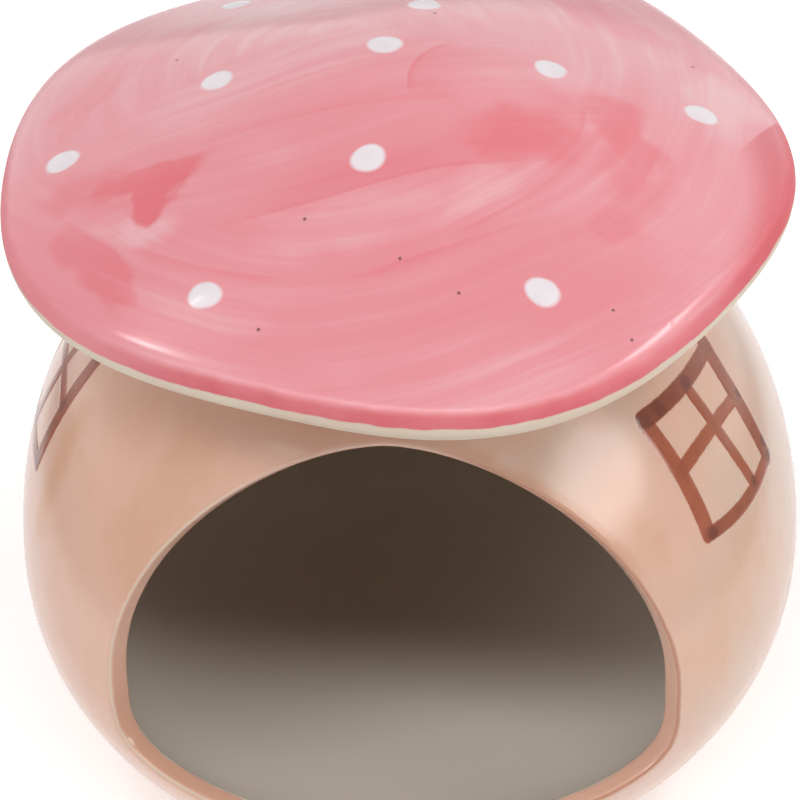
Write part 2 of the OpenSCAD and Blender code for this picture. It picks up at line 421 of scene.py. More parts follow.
def walled(profile, edge, far_a, far_p, rows, ease):
    """A wall round the mouth: straight lines from the mouth's edge to the rim of the unrolled wall, in angle
    and length along the profile, with rows that start close together."""
    r, z = profile
    run = run_of(profile)
    near_a = np.arctan2(edge[:, 0], -edge[:, 1])
    near_p = np.interp(edge[:, 2], z, run)
    share = (np.linspace(0, 1, rows + 1) ** ease)[:, None]
    a = near_a + (far_a - near_a) * share
    p = near_p + (far_p - near_p) * share
    grid = turned(np.interp(p, run, r), a, np.interp(p, run, z))
    grid[0] = edge
    return grid


def shell_mesh(s):
    """The whole casting as one closed skin. Outside and inside are walls round the mouth, joined by the lip;
    cap, ceiling, floor and foot are profiles carried round the axis."""
    b, m, c, q = s.body, s.mouth, s.cap, s.mesh
    cast = Cast(lip_at=-0.05, inside=0.0, past_rim=0.05, past_foot=0.0)
    turn = np.linspace(-math.pi, math.pi, q.round_steps + 1)[None, :]

    # the foot: from the body's curve over a round edge to the flat ring, the recess and the middle
    foot_z = -b.belly
    side_z = foot_z + b.ring_edge
    side = np.array([float(s.body_r(side_z)), side_z])
    corner = np.array([float(s.body_r(foot_z)), foot_z])
    ring_out = corner - [b.ring_edge, 0]
    inner = corner - [b.ring, 0]
    ring_in = inner + [b.ring_edge, 0]
    recess_edge = inner + [0, b.recess * 0.8]
    recess = inner + [-b.recess, b.recess]
    foot = np.concatenate([
        bend(side, corner, ring_out, 6),
        np.linspace(ring_out, ring_in, 5)[1:],
        bend(ring_in, inner, recess_edge, 4)[1:],
        bend(recess_edge, inner + [0, b.recess], recess, 3)[1:],
        np.linspace(recess, [0, recess[1]], 16)[1:],
    ])
    cast.add(turned(foot[:, :1], turn, foot[:, 1:]), 2, past_foot=run_down(foot)[:, None])

    # the outer wall
    outer_z = np.linspace(side_z, c.neck, 1200)
    outer = s.body_r(outer_z), outer_z
    hollow_top = c.neck - b.wall * math.sin(s.neck_rise)
    bowl = np.sin(np.linspace(-math.pi / 2, 0, 600)) * (b.belly - b.floor)
    hollow_z = np.concatenate([bowl, np.linspace(0, hollow_top, 600)[1:]])
    hollow = s.hollow_r(hollow_z), hollow_z
    outer_run = run_of(outer)
    spring = float(np.interp(m.spring, outer_z, outer_run))
    far_a, far_p = loop_round(q.round_steps, q.side_steps, outer_run[-1], 0.0)
    reach = np.where(far_p > spring, outer_run[-1] - spring, spring)
    t = np.arctan2((far_p - spring) / reach, far_a / FAN)

    rays = s.mouth_point(t, 0.0)
    wide = s.mouth_point(t, m.lip_round / 0.85)
    out_far, out_edge = s.cut(wide, s.body_r), s.cut(rays, s.body_r)
    in_far, in_edge = s.cut(wide, s.hollow_r), s.cut(rays, s.hollow_r)
    thick = np.linalg.norm(in_edge - out_edge, axis=1, keepdims=True)
    face_out = out_edge + (in_edge - out_edge) * (m.lip_round / thick)
    face_in = in_edge - (in_edge - out_edge) * (m.lip_round / thick)
    lip = np.concatenate([
        bend(out_far, out_edge, face_out, 6),
        face_out + (face_in - face_out) * np.linspace(0, 1, 5)[1:, None, None],
        bend(face_in, in_edge, in_far, 6)[1:],
    ])
    lip_run = run_down(lip)
    lip_start = lip_run[3]
    cast.add(lip, 1, lip_at=lip_run - lip_start, inside=np.clip((lip_run - lip_run[-7]) / 0.001, 0, 1))

    wall = walled(outer, out_far, far_a, far_p, q.wall_rows, 1.7)
    cast.add(wall, 1, lip_at=-lip_start - run_down(wall))

    # the inner wall, with the floor and the neck that close it
    hollow_run = run_of(hollow)
    floor_p = float(np.interp(-0.94 * (b.belly - b.floor), hollow_z, hollow_run))
    far_a, far_p = loop_round(q.round_steps, q.side_steps, hollow_run[-1], floor_p)
    inside = walled(hollow, in_far, far_a, far_p, q.inner_rows, 1.5)
    cast.add(inside, 1, lip_at=lip_run[-1] - lip_start + run_down(inside), inside=1.0)
    r, z = along(hollow, np.linspace(floor_p, 0, 14))
    cast.add(turned(r[:, None], turn, z[:, None]), 1, lip_at=0.05, inside=1.0)

    r, z = arc(s.groove_r, s.groove_z, c.groove + b.wall, math.pi + s.neck_rise, math.pi / 2, 10)
    r[0], z[0] = hollow[0][-1], hollow_top
    brim = np.array([r[-1], z[-1]])
    brim_end = np.array([s.groove_r + b.wall, z[-1] + b.wall * 0.4])
    ceiling_r = np.linspace(brim_end[0] - b.wall * 0.25, 0, 20)
    ceiling_z = s.dome_base + c.dome * (1 - s.fall(ceiling_r / c.radius)) - c.shell
    ceiling = np.stack([ceiling_r, ceiling_z], -1)
    closing = np.concatenate([
        np.stack([r, z], -1),
        bend(brim, np.array([brim_end[0], brim[1]]), brim_end, 4)[1:],
        bend(brim_end, np.array([brim_end[0], ceiling_z[0]]), ceiling[0], 3)[1:],
        ceiling[1:],
    ])
    cast.add(turned(closing[:, :1], turn, closing[:, 1:]), 1, lip_at=0.05, inside=1.0)

    # the cap: groove, underside, edge and dome, each at every angle round the axis
    r, z = arc(s.groove_r, s.groove_z, c.groove, math.pi + s.neck_rise, math.pi / 2, 8)
    cast.add(turned(r[:, None], turn, z[:, None]), 1)
    rim, wave = s.rim_r(turn), s.rim_wave(turn)
    inner_r = rim - c.roll
    under = np.linspace(1, 0, 10)[:, None]
    edge = np.linspace(math.pi, s.edge_start, 22)[1:, None]
    dome = np.linspace(1, 0, 46)[1:, None]
    dome_r = dome * (rim - s.edge_in)
    radius = np.concatenate([
        inner_r + (s.groove_r - inner_r) * under,
        inner_r + c.roll * np.sin(edge),
        dome_r,
    ])
    height = np.concatenate([
        s.under_z + c.bite * under ** 2 + wave * (1 - under) ** 2,
        s.rim_z + wave + c.rim_half * np.cos(edge),
        s.cap_top(dome_r, turn),
    ])
    grid = turned(radius, turn, height)
    gone = run_down(grid)
    widest = radius.argmax(axis=0)
    cast.add(grid, 0, past_rim=gone[widest, np.arange(grid.shape[1])] - gone)
    return cast.build("hideout_shell", b.belly)


def dots_mesh(s):
    """Low dabs on the cap: polar grids with a slightly uneven outline. Height over the glaze is
    dot_height (1 - (d / reach)^2)^1.5, sunk a little under the glaze at the outline and closed below."""
    reach = 1.2
    cast = Cast(spread=reach)
    turns, rings = 48, 16
    a = np.linspace(0, 2 * math.pi, turns + 1)[None, :]
    d = np.linspace(0, reach, rings)[:, None]
    for i, ((x, y), deep) in enumerate(zip(DOTS, DOT_DEPTHS)):
        wobble = 1 + 0.035 * np.cos(2 * a + 1.7 * i) + 0.025 * np.cos(3 * a + 2.9 * i)
        radius = s.paint.dot / 2 * wobble * (1 + 0.04 * math.sin(5.1 * i))
        px, py = x + d * radius * np.cos(a), y + d * radius * deep * np.sin(a)
        top = s.cap_top(np.hypot(px, py), np.arctan2(px, -py))
        rise = s.paint.dot_height * np.clip(1 - (d / reach) ** 2, 0, 1) ** 1.5
        sink = 0.00004 * np.clip((d - 1.08) / (reach - 1.08), 0, 1)
        upper = np.stack([px, py, top + rise - sink], -1)
        lower = np.stack([px, py, top - 0.0004], -1)
        cast.add(upper, 0, spread=np.broadcast_to(d, px.shape))
        cast.add(np.stack([upper[-1], lower[-1]]), 0, spread=reach)
        cast.add(lower[::-1], 0, spread=reach)
    return cast.build("dots", s.body.belly)


# The strokes of each window on the plane that touches the body at its middle. Places are shares of half the
# window's width and height, widths are shares of a bar's width, loads are how dark the paint is:
# start, a point on the way, end, widths at the start and the end, loads at the start and the end
RIGHT_STROKES = [
    ((-0.91, 0.95), (-0.10, 0.87), (0.84, 0.87), (1.14, 1.0), (0.85, 0.4)),
    ((-0.93, 0.91), (-0.90, 0.13), (-0.90, -0.80), (1.1, 1.16), (0.2, 0.15)),
    ((-0.90, -0.82), (-0.04, -0.94), (0.86, -0.84), (0.9, 1.05), (0.45, 0.2)),
    ((0.83, 0.90), (0.76, 0.13), (0.86, -0.84), (1.3, 1.25), (0.35, 0.4)),
    ((0.0, 0.86), (0.06, 0.05), (0.28, -0.86), (0.9, 0.84), (0.3, 0.25)),
    ((-0.84, 0.12), (0.02, 0.18), (0.78, 0.12), (1.0, 0.84), (0.25, 0.15)),
]
LEFT_STROKES = [
    ((0.94, 0.88), (0.15, 0.96), (-0.74, 0.86), (0.95, 0.95), (0.5, 0.45)),
    ((0.93, 0.92), (0.99, 0.0), (0.92, -1.0), (1.1, 1.2), (0.35, 0.45)),
    ((0.93, -1.0), (0.1, -1.02), (-0.74, -0.92), (1.05, 0.95), (0.5, 0.3)),
    ((-0.72, 0.9), (-0.66, 0.0), (-0.72, -0.96), (0.95, 0.9), (0.3, 0.25)),
    ((0.27, 0.92), (0.26, 0.05), (0.14, -0.98), (1.0, 1.0), (0.3, 0.25)),
    ((0.92, -0.04), (0.25, 0.08), (-0.72, -0.04), (1.0, 0.95), (0.3, 0.2)),
]

# Blots where paint pooled: place, radius in bars and darkness
RIGHT_BLOTS = [
    ((0.93, -0.66), 0.42, 1.2), ((0.9, -0.86), 0.3, 0.9), ((0.86, 0.12), 0.36, 0.8),
    ((-0.62, 0.88), 0.5, 0.3), ((-0.82, -0.86), 0.5, 0.6), ((0.02, 0.84), 0.5, 0.35),
    ((0.3, -0.85), 0.4, 0.45),
]
LEFT_BLOTS = [
    ((0.93, -1.0), 0.5, 0.5), ((0.95, 0.0), 0.5, 0.3), ((0.92, 0.9), 0.5, 0.35),
    ((0.2, -0.98), 0.5, 0.3),
]


def on_window(s, at, x, y):
    """Points of a window's plane dropped along its normal on to the body, by halving. The plane touches the
    body at angle at and the windows' height, x runs round it and y up it."""
    z0 = s.paint.window_z
    r0, ahead = float(s.body_r(z0)), float(s.body_r(z0 + 1e-5))
    out = np.array([math.sin(at), -math.cos(at), 0])
    across = np.array([math.cos(at), math.sin(at), 0])
    upward = out * (ahead - r0) / 1e-5 + np.array([0, 0, 1])
    upward /= np.linalg.norm(upward)
    normal = np.cross(across, upward)
    plane = out * r0 + np.array([0, 0, z0]) + x[..., None] * across + y[..., None] * upward
    low, high = np.zeros(x.shape), np.full(x.shape, 0.012)
    for _ in range(40):
        mid = (low + high) / 2
        p = plane - normal * mid[..., None]
        outside = np.hypot(p[..., 0], p[..., 1]) > s.body_r(p[..., 2])
        low, high = np.where(outside, mid, low), np.where(outside, high, mid)
    return plane - normal * low[..., None], normal


def stroke_field(stroke, x, y, size, bar):
    """Distance of each point outside a brush stroke, negative inside it, and the share along the stroke. The
    stroke is a quadratic curve with round ends whose width runs evenly from one end to the other."""
    start, way, end = (np.array(p) * size for p in stroke[:3])
    t = np.linspace(0, 1, 60)[:, None]
    line = (1 - t) ** 2 * start + 2 * t * (1 - t) * (2 * way - (start + end) / 2) + t * t * end
    width = bar * (stroke[3][0] + (stroke[3][1] - stroke[3][0]) * t[:, 0])
    gap = np.hypot(x[..., None] - line[:, 0], y[..., None] - line[:, 1]) - width / 2
    return gap.min(-1), t[gap.argmin(-1), 0]


def smooth(value, low, high):
    """0 under low, 1 over high, and 3t^2 - 2t^3 between them."""
    t = np.clip((value - low) / (high - low), 0, 1)
    return t * t * (3 - 2 * t)


def window_mesh(s, name, at, strokes, blots):
    """The strokes of one window as a thin skin of paint on the body, raised by the bar's height at full cover
    and sunk just under the glaze past its edge. Only cells near paint are kept, and a copy lies under them.
    Marks: cover is the distance inside the paint's edge in bars, load is how dark the paint is."""
    p = s.paint
    size, bar = np.array([p.window_width, p.window_height]) / 2, p.bar
    pitch, margin, sink = bar / 11, bar * 0.2, 0.00003
    x, y = np.meshgrid(*(np.arange(-1.16, 1.16, pitch / half) * half for half in size))
    gaps, loads = [], []
    for stroke in strokes:
        gap, share = stroke_field(stroke, x, y, size, bar)
        gaps.append(gap)
        loads.append(stroke[4][0] + (stroke[4][1] - stroke[4][0]) * share)
    over = smooth(-np.stack(gaps) / bar, -0.05, 0.12)
    load = (over * np.stack(loads)).max(0) + 0.12 * np.maximum(over.sum(0) - 1, 0)
    for place, radius, dark in blots:
        away = np.hypot(x - place[0] * size[0], y - place[1] * size[1]) / (radius * bar)
        load = load + dark * smooth(-away, -1.3, -0.3)
    gap = np.min(gaps, axis=0)
    height = p.bar_height * smooth(-gap / bar, 0.0, 0.2) - sink * smooth(gap / bar, 0.0, 0.14)
    on_body, normal = on_window(s, at, x, y)
    top = on_body + normal * height[..., None]
    low = on_body - normal * 0.00025

    near = gap < margin
    cell = near[:-1, :-1] & near[:-1, 1:] & near[1:, 1:] & near[1:, :-1]
    index = np.arange(x.size).reshape(x.shape)
    quads = grid_quads(index)[cell]
    sides = np.concatenate([quads[:, [i, (i + 1) % 4]] for i in range(4)])
    _, first, times = np.unique(np.sort(sides, axis=1), axis=0, return_index=True, return_counts=True)
    border = sides[first[times == 1]]
    walls = np.stack([border[:, 1], border[:, 0], border[:, 0] + x.size, border[:, 1] + x.size], -1)
    faces = np.concatenate([quads, quads[:, ::-1] + x.size, walls])
    used, packed = np.unique(faces, return_inverse=True)
    points = np.concatenate([top.reshape(-1, 3), low.reshape(-1, 3)])[used]
    mesh = bpy.data.meshes.new(name)
    mesh.from_pydata(points + np.array([0, 0, s.body.belly]), [], packed.reshape(faces.shape))
    marks = {"cover": -gap / bar, "load": load}
    set_marks(mesh, {mark: np.tile(values.reshape(-1), 2)[used] for mark, values in marks.items()})
    shade_smooth(mesh)
    return mesh


class Nodes:
    """Short calls that add shader nodes to one tree and join them."""

    def __init__(self, tree):
        self.tree = tree

    def add(self, kind, inputs=None, **settings):
        node = self.tree.nodes.new(kind)
        for name, value in settings.items():
            setattr(node, name, value)
        for name, value in (inputs or {}).items():
            self.put(node.inputs[name], value)
        return node

    def put(self, socket, value):
        if isinstance(value, bpy.types.NodeSocket):
            self.tree.links.new(value, socket)
        elif value is not None:
            socket.default_value = value

    def math(self, operation, a, b=None, c=None, clamp=False):
        node = self.add("ShaderNodeMath", operation=operation, use_clamp=clamp)
        for socket, value in zip(node.inputs, (a, b, c)):
            self.put(socket, value)
        return node.outputs[0]

    def times(self, a, b, clamp=False):
        return self.math("MULTIPLY", a, b, clamp=clamp)

    def most(self, a, b):
        return self.math("MAXIMUM", a, b)

    def vector(self, operation, a, b=None, scale=None):
        node = self.add("ShaderNodeVectorMath", operation=operation)
        self.put(node.inputs[0], a)
        if b is not None:
            self.put(node.inputs[1], b)
        if scale is not None:
            self.put(node.inputs["Scale"], scale)
        return node.outputs["Value" if operation in ("LENGTH", "DISTANCE", "DOT_PRODUCT") else "Vector"]

    def mix(self, share, a, b):
        node = self.add("ShaderNodeMix", data_type="RGBA")
        for name, value in (("Factor", share), ("A", a), ("B", b)):
            socket = next(i for i in node.inputs if i.name == name and (name == "Factor" or i.type == "RGBA"))
            self.put(socket, (*value, 1) if isinstance(value, tuple) else value)
        return next(o for o in node.outputs if o.type == "RGBA")

    def step(self, value, low, high, to_low=0.0, to_high=1.0):
        node = self.add("ShaderNodeMapRange", interpolation_type="SMOOTHSTEP")
        for name, given in (("Value", value), ("From Min", low), ("From Max", high),
                            ("To Min", to_low), ("To Max", to_high)):
            self.put(node.inputs[name], given)
        return node.outputs["Result"]

    def noise(self, vector, scale, detail=2.0, rough=0.5, twist=0.0):
        node = self.add("ShaderNodeTexNoise", {"Vector": vector, "Scale": scale, "Detail": detail,
                                               "Roughness": rough, "Distortion": twist})
        return node.outputs["Fac"]

    def parts(self, vector):
        return self.add("ShaderNodeSeparateXYZ", {"Vector": vector}).outputs

    def where(self):
        return self.add("ShaderNodeTexCoord").outputs["Object"]

    def mark(self, name):
        return self.add("ShaderNodeAttribute", attribute_name=name).outputs["Fac"]


def group(name, inputs, outputs, fill):
    """A shader node group, built once. inputs and outputs map a name to a socket type; fill gets the nodes
    and the input sockets and returns the outputs by name."""
    made = bpy.data.node_groups.get(name)
    if made is None:
        made = bpy.data.node_groups.new(name, "ShaderNodeTree")
        for label, kind in inputs.items():
            made.interface.new_socket(label, in_out="INPUT", socket_type=kind)
        for label, kind in outputs.items():
            made.interface.new_socket(label, in_out="OUTPUT", socket_type=kind)
        n = Nodes(made)
        given = n.add("NodeGroupInput").outputs
        n.add("NodeGroupOutput", fill(n, given))
    return made


COLOR, VALUE, VECTOR = "NodeSocketColor", "NodeSocketFloat", "NodeSocketVector"


def place_group(n, tree, **inputs):
    node = n.add("ShaderNodeGroup", node_tree=tree)
    for name, value in inputs.items():
        n.put(node.inputs[name.replace("_", " ")], (*value, 1) if isinstance(value, tuple) else value)
    return node.outputs


# Where the brush left more pink on the cap, seen from above in millimetres: middle, half length, half width,
# turn in degrees, strength and softness of the edge
PINK_PATCHES = [
    (-33.5, -14, 9, 3.6, 6, 0.95, 0.4), (-30.8, -17.3, 5.8, 3.6, 60, 1.0, 0.3),
    (-41, -14.5, 8, 5, -18, 0.6, 0.8), (-39.3, -27.5, 9.5, 2.4, -58, 0.55, 0.5),
    (-36.6, -33.0, 4.5, 2.2, -40, 0.5, 0.6), (-42, 10, 8, 4, 55, 0.42, 0.7),
    (18.0, -11.5, 9.5, 4.6, 24, 0.75, 1.0), (31.8, -5.5, 9.0, 4.2, -58, 0.75, 0.7),
    (32.5, -13.5, 6.5, 4.5, -60, 0.5, 0.8), (31.5, -22, 6.5, 3.6, 40, 0.35, 0.8),
    (30, 27, 10, 5, -30, 0.7, 0.8), (-35, 19, 10, 4, 30, 0.5, 0.8), (-8, 33, 15, 4, 5, 0.45, 0.8),
    (41, 24, 8, 4, 120, 0.5, 0.7),
]
# Where it left less: middle, half length, half width, turn and strength
PALE_PATCHES = [
    (-5, 24, 34, 7, 2, 0.3), (-33, -23.5, 6, 3, -8, 0.5), (-6, -28, 13, 4.0, 8, 0.3),
    (13, -24, 9, 3.0, 42, 0.25), (42, -17, 12, 4.5, 66, 0.22), (44, 12, 9, 5, 100, 0.45),
]
# Edges of single strokes: a place on the edge, its direction there, the radius of its curve (plus bends to
# the left), half its length, how far the colour reaches from it (plus to its left), and strength
STROKE_EDGES = [
    (2, -21.3, 15.6, 169, 26, 10.0, 0.75), (-9, -9.8, 7, 400, 20, 6.0, 0.35),
    (-24, -31.4, -22, 42, 12, -3.0, 0.5), (18, -22, 47, 51, 13, -2.6, 0.4), (9, -31, 24, 60, 16, -2.6, 0.4),
    (25.2, -8.6, 68, 12, 8, 9.0, 1.0), (-28.2, -18.5, 54, 400, 6.5, 7.0, 0.9),
]


def patch(n, where, x, y, long, wide, turn):
    """Distance from the middle of an ellipse seen from above, 1 at its edge."""
    ahead, aside = math.cos(math.radians(turn)), math.sin(math.radians(turn))
    off = n.vector("SUBTRACT", where, (x * MM, y * MM, 0.0))
    along = n.vector("DOT_PRODUCT", off, (ahead / long / MM, aside / long / MM, 0.0))
    across = n.vector("DOT_PRODUCT", off, (-aside / wide / MM, ahead / wide / MM, 0.0))
    return n.math("SQRT", n.math("MULTIPLY_ADD", along, along, n.math("MULTIPLY", across, across)))


def stroke_edge(n, flat, drift, x, y, turn, radius, half, reach):
    """Colour along one edge of a stroke: a thin dark line at the edge and a fill that fades out at reach on
    one side of it, nothing on the other, and less towards the stroke's two ends. The edge is an arc."""
    ahead = Vector((math.cos(math.radians(turn)), math.sin(math.radians(turn)), 0))
    middle = Vector((x, y, 0)) * MM
    centre = middle + Vector((-ahead.y, ahead.x, 0)) * radius * MM
    side = math.copysign(1.0, reach * radius)
    past = n.math("SUBTRACT", abs(radius) * MM, n.vector("DISTANCE", flat, tuple(centre)))
    past = n.times(n.math("ADD", past, drift), side)
    sharp = n.step(past, -0.00015, 0.0002)
    fill, line = n.step(past, abs(reach) * MM, 0.0, 0.0, 0.6), n.step(past, 0.0011, 0.0003, 0.0, 0.4)
    off = n.vector("SUBTRACT", flat, tuple(middle))
    run = n.math("ABSOLUTE", n.vector("DOT_PRODUCT", off, tuple(ahead)))
    return n.times(n.times(sharp, n.math("ADD", fill, line)), n.step(run, half * MM, half * 0.55 * MM))


def strokes(n, flat, drift, centre, angular, across, detail, rough):
    """Brush marks round a centre: noise that runs on along the circles and changes quickly across them."""
    from_it = n.vector("SUBTRACT", flat, tuple(Vector(centre) * MM))
    away = n.times(n.math("ADD", n.vector("LENGTH", from_it), drift), across)
    lift = n.add("ShaderNodeCombineXYZ", {"Z": away}).outputs[0]
    way_round = n.vector("SCALE", n.vector("NORMALIZE", from_it), scale=angular)
    return n.noise(n.vector("ADD", way_round, lift), 1.0, detail, rough)


def lobe_stroke_and_shade(n, flat, drift):
    """A stroke of thicker glaze that starts sharply at the right lobe and runs along the rim towards the
    front.
    It also stands for the dark reflection on the steep rim there, so it is partly painted shade.
    """
    past_start = n.math("ADD", n.vector("DOT_PRODUCT", flat, (0.92, -0.39, 0.0)), drift)
    from_middle = n.math("ADD", n.vector("DISTANCE", flat, (0.010, -0.008, 0.0)), drift)
    along_rim = n.times(n.step(past_start, 0.0433, 0.0438), n.step(from_middle, 0.0370, 0.0435))
    return n.times(along_rim, n.step(n.parts(flat)["Y"], -0.034, -0.016))


def brushed_pink(n, given):
    """The cap's glaze. Brush strokes run round the cap, and in flat arcs over its left and middle; patches of
    thicker and thinner glaze lie where they are listed, and glaze gathers along the edges of some strokes."""
    where = n.where()
    flat = n.vector("MULTIPLY", where, (1.0, 1.0, 0.0))
    drift = n.math("MULTIPLY_ADD", n.noise(where, 26.0, 2.0), 0.008, -0.004)
    round_it, flat_arcs = (-8, 8, 0), (-43.5, 141.5, 0)
    middle = n.step(n.math("MULTIPLY_ADD", drift, 60.0, patch(n, where, -8, -7, 38, 16, 10)), 1.15, 0.85)

    def both(angular, across, detail, rough):
        rings = strokes(n, flat, drift, round_it, angular, across, detail, rough)
        arcs = strokes(n, flat, drift, flat_arcs, angular * 4.5, across, detail, rough)
        return n.math("MULTIPLY_ADD", n.math("SUBTRACT", arcs, rings), middle, rings)

    fine = n.step(both(1.3, 1500.0, 2.0, 0.6), 0.3, 0.7)
    broad = n.step(both(0.9, 300.0, 2.0, 0.5), 0.32, 0.68)
    cloud = n.step(n.noise(where, 34.0, 2.0, 0.5, 0.3), 0.36, 0.64)
    bent = n.add("ShaderNodeTexNoise", {"Vector": where, "Scale": 120.0, "Detail": 1.0}).outputs["Color"]
    bent = n.vector("SCALE", n.vector("SUBTRACT", bent, (0.5, 0.5, 0.5)), scale=0.008)
    bent = n.vector("ADD", where, bent)
    grain = n.math("MULTIPLY_ADD", fine, 0.15, n.times(broad, 0.34))
    wet = n.math("MULTIPLY_ADD", cloud, 0.30, n.math("ADD", grain, 0.32))

    rough_edge = n.math("MULTIPLY_ADD", n.noise(where, 190.0, 2.0, 0.6, 0.3), 0.8, -0.4)
    rough_edge = n.math("ADD", n.math("MULTIPLY_ADD", broad, -0.2, 0.1), rough_edge)
    pale = None
    for *outline, strength in PALE_PATCHES:
        ragged = n.math("ADD", patch(n, bent, *outline), rough_edge)
        share = n.step(ragged, 1.5, 0.3, 0.0, strength)
        pale = share if pale is None else n.most(pale, share)
    wet = n.math("SUBTRACT", wet, pale)
    small = n.times(drift, 0.2)
    for *edge, strength in STROKE_EDGES:
        wet = n.math("MULTIPLY_ADD", stroke_edge(n, flat, small, *edge), strength, wet)
    shade = n.mix(n.step(wet, 0.0, 0.9), given["Blush"], given["Pink"])

    thick = n.times(n.math("SUBTRACT", wet, 0.85), 0.7, clamp=True)
    for *outline, strength, soft in PINK_PATCHES:
        ragged = n.math("MULTIPLY_ADD", rough_edge, 0.5 + soft, patch(n, bent, *outline))
        thick = n.most(thick, n.step(ragged, 1 + soft * 0.55, 1 - soft * 0.75, 0.0, strength))
    # the lobe stroke: thicker glaze, and painted shade for the dark reflection on the steep rim
    lobe = lobe_stroke_and_shade(n, flat, small)
    thick = n.most(thick, lobe)
    drawn = n.times(thick, n.math("MULTIPLY_ADD", grain, 0.4, 0.82), clamp=True)
    return {"Color": n.mix(drawn, shade, given["Coral"]), "Gathered_and_shade": n.times(lobe, 0.6)}


# Thicker places in the body's wash, in millimetres: from one end to the other, radius and strength
WASH_PATCHES = [
    ((-44, -17.5, 68), (-50, -19, 50), 2.6, 0.75), ((-27, -33, 73), (-36, -38, 57), 6.0, 0.5),
    ((44, -32, 40), (50, -22, 48), 7.0, 0.4), ((30, -34, 68), (36, -36, 60), 3.5, 0.35),
    ((47, 22, 60), (40, 34, 38), 6.0, 0.5), ((-20, 48, 60), (-8, 53, 36), 7.0, 0.5),
    ((-48, 20, 40), (-46, 10, 30), 6.0, 0.4),
]


def mottled_wash(n, given):
    """The body's wash: clouds of peach and amber over tan, faint upright brush marks, thicker places."""
    where = n.where()
    tall = n.vector("MULTIPLY", where, (1.0, 1.0, 0.6))
    cloud = n.step(n.noise(tall, 46.0, 3.0, 0.5, 0.4), 0.36, 0.66)
    other = n.step(n.noise(n.vector("ADD", where, (3.1, 1.7, 0.4)), 30.0, 3.0, 0.55, 0.5), 0.48, 0.74)
    brush = n.noise(n.vector("MULTIPLY", where, (1.0, 1.0, 0.25)), 300.0, 3.0, 0.6)
    ragged = n.math("MULTIPLY_ADD", n.noise(where, 130.0, 2.0, 0.6), 1.6, -0.8)
    thick = None
    for start, end, radius, strength in WASH_PATCHES:
        a, b = Vector(start) * MM, Vector(end) * MM
        along_it = (b - a) / (b - a).length_squared
        off = n.vector("SUBTRACT", where, tuple(a))
        share = n.times(n.vector("DOT_PRODUCT", off, tuple(along_it)), 1.0, clamp=True)
        gap = n.vector("LENGTH", n.vector("SUBTRACT", off, n.vector("SCALE", tuple(b - a), scale=share)))
        near = n.step(n.math("MULTIPLY_ADD", gap, 1 / (radius * MM), ragged), 1.6, 0.1, 0.0, strength)
        thick = near if thick is None else n.most(thick, near)
    warm = n.most(n.times(cloud, 0.7), n.step(n.parts(where)["X"], 0.03, -0.012, 0.0, 0.8))
    base = n.mix(warm, given["Tan"], given["Peach"])
    amber = n.most(n.times(other, 0.4), thick)
    amber = n.math("ADD", amber, n.step(brush, 0.42, 0.8, 0.0, 0.22), clamp=True)
    return {"Color": n.mix(amber, base, given["Amber"])}


def glaze_skin(n, given):
    """A glaze's surface: slow waves, a fine orange peel, a height of its own, and an uneven roughness."""
    where = n.where()
    waves = n.noise(where, 60.0, 1.0, 0.4)
    peel = n.noise(where, 800.0, 1.0, 0.5)
    height = n.math("ADD", n.math("MULTIPLY_ADD", peel, 0.01, waves), given["Height"])
    lifted = n.add("ShaderNodeBump", {"Strength": given["Strength"], "Distance": 0.0004, "Height": height})
    rough = n.math("MULTIPLY_ADD", n.noise(where, 160.0, 1.0), 0.06, given["Roughness"])
    return {"Normal": lifted.outputs["Normal"], "Roughness": rough}


# Pinholes and pimples in the cap's glaze, seen from above in millimetres
PINHOLES = [
    (-10.6, -26.3), (10.5, -37.7), (30.8, -36.2), (33.4, -40.0), (4.7, 15.0), (-16.0, -41.0),
    (12.5, 30.0), (-31.0, 12.0), (40.0, 20.0), (2.5, -33.0),
]
PIMPLES = [(16.1, -4.5), (29.6, 2.7), (38.1, -35.6), (29.4, -17.5), (-12.0, 26.0)]


def cap_flaws(n, given):
    """Pinholes as a mask for their painted shade, and their pits and some pimples as a height."""
    flat = n.vector("MULTIPLY", n.where(), (1.0, 1.0, 0.0))

    def nearest(places):
        least = None
        for x, y in places:
            gap = n.vector("DISTANCE", flat, (x * MM, y * MM, 0.0))
            least = gap if least is None else n.math("MINIMUM", least, gap)
        return least

    hole = n.step(nearest(PINHOLES), 0.00036, 0.00010)
    lump = n.step(nearest(PIMPLES), 0.00085, 0.0)
    return {"Hole": hole, "Height": n.math("SUBTRACT", n.times(lump, 0.35), n.times(hole, 0.5))}


def pink_colour(n, c):
    """The brushed pink glaze in its three colours: its colour, and the stroke at the right lobe, part gathered
    glaze and part painted shade.
    """
    made = group("Brushed pink glaze", {"Pink": COLOR, "Coral": COLOR, "Blush": COLOR},
                 {"Color": COLOR, "Gathered_and_shade": VALUE}, brushed_pink)
    return place_group(n, made, Pink=tuple(c.pink), Coral=tuple(c.coral), Blush=tuple(c.blush))


def wash_colour(n, c):
    """The body's mottled wash in its three colours."""
    made = group("Mottled wash", {"Tan": COLOR, "Peach": COLOR, "Amber": COLOR},
                 {"Color": COLOR}, mottled_wash)
    return place_group(n, made, Tan=tuple(c.tan), Peach=tuple(c.peach), Amber=tuple(c.amber))["Color"]


def material(name):
    """A new material, its nodes and its Principled shader."""
    made = bpy.data.materials.new(name)
    made.use_nodes = True
    return made, Nodes(made.node_tree), made.node_tree.nodes["Principled BSDF"]


def glazed(n, shader, strength, rough, height=0.0):
    """Joins the glaze's surface to the shader."""
    made = group("Glaze skin", {"Strength": VALUE, "Roughness": VALUE, "Height": VALUE},
                 {"Normal": VECTOR, "Roughness": VALUE}, glaze_skin)
    skin = place_group(n, made, Strength=strength, Roughness=rough, Height=height)
    n.put(shader.inputs["Normal"], skin["Normal"])
    n.put(shader.inputs["Roughness"], skin["Roughness"])
    shader.inputs["IOR"].default_value = GLAZE_IOR


